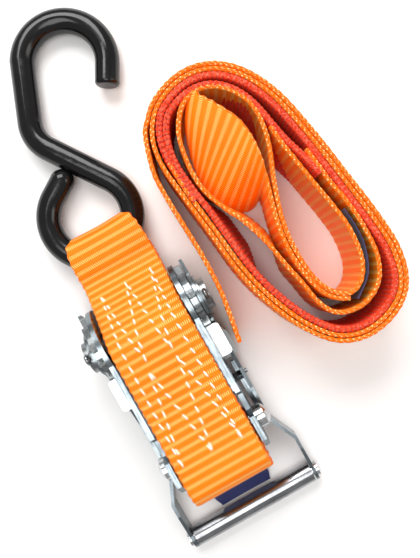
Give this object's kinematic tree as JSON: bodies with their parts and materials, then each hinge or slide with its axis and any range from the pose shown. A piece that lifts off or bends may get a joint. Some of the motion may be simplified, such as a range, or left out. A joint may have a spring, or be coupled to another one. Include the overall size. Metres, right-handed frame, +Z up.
{
  "type": "ratchet tie down",
  "caption": "Wide-handled strap ratchet on a short sewn webbing with a coated S-hook, folded back over its frame, beside its long webbing strap coiled on edge with a tubular wear sleeve.",
  "frame": {"origin": "middle of the bottom of the bounding box, on the ground that it lies on", "axes": "+Y runs from the grip towards the hook, +Z is up, X runs along the mandrel"},
  "size_m": [0.1931, 0.3382, 0.05],
  "materials": {
    "zinc_plate": "bright zinc plated pressed steel",
    "pawl_steel": "bright zinc plated, rounded edges",
    "mandrel_steel": "zinc plated, stamped teeth",
    "bolt_steel": "polished zinc",
    "grip_steel": "polished plated tube",
    "spring_steel": "drawn wire",
    "orange_webbing": "ribbed polyester webbing, slight sheen",
    "red_sleeve": "fine woven tubular sleeve",
    "blue_label": "smooth printed ribbon, blank",
    "white_thread": "twisted polyester thread",
    "hook_steel": "bent round bar",
    "black_vinyl": "glossy dipped vinyl"
  },
  "bodies": {
    "frame": {"frame_plate_right": "zinc_plate", "frame_plate_left": "zinc_plate", "frame_base_plate": "zinc_plate", "fixed_bolt": "bolt_steel", "cap_nut": "bolt_steel", "bolt_sleeve": "bolt_steel", "lock_spring": "spring_steel", "short_strap_bolt_loop": "orange_webbing", "short_strap_fold": "orange_webbing", "strap_label": "blue_label"},
    "lock_pawl": {"lock_pawl": "pawl_steel"},
    "mandrel": {"mandrel_half_upper": "mandrel_steel", "mandrel_half_lower": "mandrel_steel", "ratchet_wheel_right": "mandrel_steel", "ratchet_wheel_left": "mandrel_steel", "mandrel_washers": "mandrel_steel", "split_pins": "mandrel_steel"},
    "handle": {"handle_plate_right": "zinc_plate", "handle_plate_left": "zinc_plate", "handle_bridge": "zinc_plate", "grip_spindle": "bolt_steel", "release_spring": "spring_steel"},
    "grip": {"grip_tube": "grip_steel"},
    "release_pawl": {"release_pawl": "pawl_steel"},
    "short_strap": {"short_strap_run": "orange_webbing"},
    "strap_loop": {"short_strap_hook_loop": "orange_webbing"},
    "s_hook": {"s_hook_bar": "hook_steel", "s_hook_coating": "black_vinyl"},
    "long_strap": {"long_strap_turns": "orange_webbing", "wear_sleeve": "red_sleeve", "long_strap_inner_turn": "orange_webbing", "long_strap_fold": "orange_webbing", "long_strap_eye": "orange_webbing", "long_strap_tail": "orange_webbing", "long_strap_label": "blue_label"}
  },
  "joints": [
    {"name": "handle_swing", "type": "hinge", "parent": "frame", "child": "handle", "pos_m": [-0.05067, -0.03363, 0.0255], "axis": [1, 0, 0], "range_deg": [0, 120]},
    {"name": "mandrel_turn", "type": "hinge", "parent": "frame", "child": "mandrel", "pos_m": [-0.05067, -0.03363, 0.0255], "axis": [1, 0, 0], "continuous": true},
    {"name": "lock_pawl_slide", "type": "slide", "parent": "frame", "child": "lock_pawl", "axis": [0, -1, 0], "range_m": [0, 0.006], "stiffness_N_per_m": 600, "springref_m": -0.008, "deforming": ["lock_spring"]},
    {"name": "release_pawl_slide", "type": "slide", "parent": "handle", "child": "release_pawl", "axis": [0, -0.9397, -0.342], "range_m": [0, 0.006], "stiffness_N_per_m": 600, "springref_m": -0.008, "deforming": ["release_spring"]},
    {"name": "grip_spin", "type": "hinge", "parent": "handle", "child": "grip", "pos_m": [-0.05067, -0.16363, 0.0062], "axis": [1, 0, 0], "continuous": true},
    {"name": "short_strap_fold", "type": "hinge", "parent": "frame", "child": "short_strap", "pos_m": [-0.05067, -0.12243, 0.0375], "axis": [1, 0, 0], "range_deg": [0, 180], "deforming": ["short_strap_fold"]},
    {"name": "hook_lift", "type": "hinge", "parent": "short_strap", "child": "strap_loop", "pos_m": [-0.05067, 0.00437, 0.013], "axis": [1, 0, 0], "range_deg": [-12, 45]},
    {"name": "hook_turn", "type": "hinge", "parent": "strap_loop", "child": "s_hook", "pos_m": [-0.05117, 0.04237, 0.01], "axis": [0.0102, 0.0181, 0.9998], "range_deg": [-20, 45]},
    {"name": "long_strap_place", "type": "slide", "parent": "frame", "child": "long_strap", "axis": [1, 0, 0], "range_m": [0, 0.1]}
  ]
}
